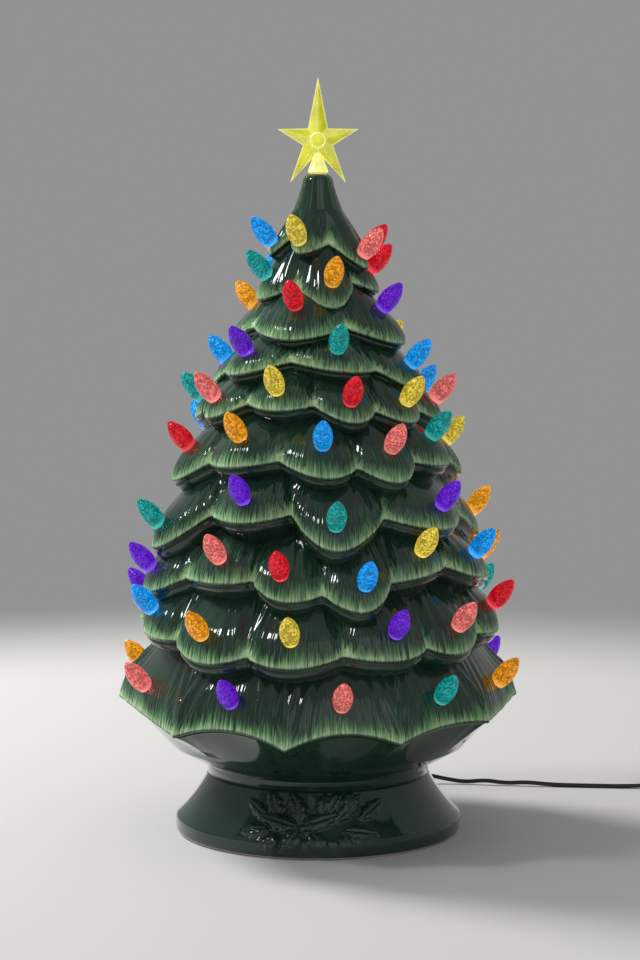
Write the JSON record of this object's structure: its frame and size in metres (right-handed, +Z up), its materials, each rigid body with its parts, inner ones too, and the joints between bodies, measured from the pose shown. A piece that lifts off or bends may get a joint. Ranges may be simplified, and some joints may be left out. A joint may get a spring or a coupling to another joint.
{
  "type": "ceramic christmas tree",
  "caption": "Lighted tabletop tree of dark green glazed ceramic on its own foot, with coloured plastic bulbs pegged into its boughs, a star on top, a lamp inside and a cord with a switch.",
  "frame": {"origin": "centre of the foot ring, on the table", "axes": "+Z up through the crown, -Y towards the viewer of the front, +X to the viewer's right"},
  "size_m": [0.5059, 0.4422, 0.61],
  "materials": {
    "green_glaze": "gloss glaze with brushed light green on the bough edges",
    "star_acrylic": "clear polished",
    "red_plastic": "pebbled translucent",
    "pink_plastic": "pebbled translucent",
    "orange_plastic": "pebbled translucent",
    "yellow_plastic": "pebbled translucent",
    "teal_plastic": "pebbled translucent",
    "blue_plastic": "pebbled translucent",
    "purple_plastic": "pebbled translucent",
    "holder_plastic": "moulded",
    "shell_brass": "drawn",
    "spring_steel": "plain",
    "cap_nickel": "nickel plated",
    "lamp_glass": "clear",
    "cord_black": "satin sheath",
    "tie_plastic": "moulded",
    "switch_plastic": "fine grain",
    "rocker_plastic": "smooth",
    "plug_plastic": "moulded"
  },
  "bodies": {
    "base": {"ceramic_base": "green_glaze", "lamp_holder": "holder_plastic", "holder_screw_shell": "shell_brass", "holder_contact": "shell_brass", "holder_clips": "spring_steel", "cord_relief": "cord_black", "cord_in_base": "cord_black", "cord_to_switch": "cord_black", "cord_run": "cord_black", "cord_coil": "cord_black", "cord_tail": "cord_black", "coil_tie": "tie_plastic", "switch_lower": "switch_plastic", "switch_upper": "switch_plastic", "switch_screws": "spring_steel", "plug_body": "plug_plastic", "plug_blades": "shell_brass"},
    "tree": {"ceramic_tree": "green_glaze", "red_bulbs": "red_plastic", "pink_bulbs": "pink_plastic", "orange_bulbs": "orange_plastic", "yellow_bulbs": "yellow_plastic", "teal_bulbs": "teal_plastic", "blue_bulbs": "blue_plastic", "purple_bulbs": "purple_plastic"},
    "star": {"tree_star": "star_acrylic"},
    "lamp": {"lamp_cap": "cap_nickel", "lamp_tip": "cap_nickel", "lamp_globe": "lamp_glass"},
    "rocker": {"switch_rocker": "rocker_plastic"}
  },
  "joints": [
    {"name": "tree_lift", "type": "slide", "parent": "base", "child": "tree", "axis": [0, 0, 1], "range_m": [0, 0.12]},
    {"name": "star_lift", "type": "slide", "parent": "tree", "child": "star", "axis": [0, 0, 1], "range_m": [0, 0.03]},
    {"name": "lamp_turn", "type": "hinge", "parent": "base", "child": "lamp", "pos_m": [0, 0, 0.06], "axis": [0, 0, 1], "continuous": true},
    {"name": "rocker_tilt", "type": "hinge", "parent": "base", "child": "rocker", "pos_m": [0.062, 0.17, 0.01045], "axis": [0, 1, 0], "range_deg": [-16, 0]}
  ]
}
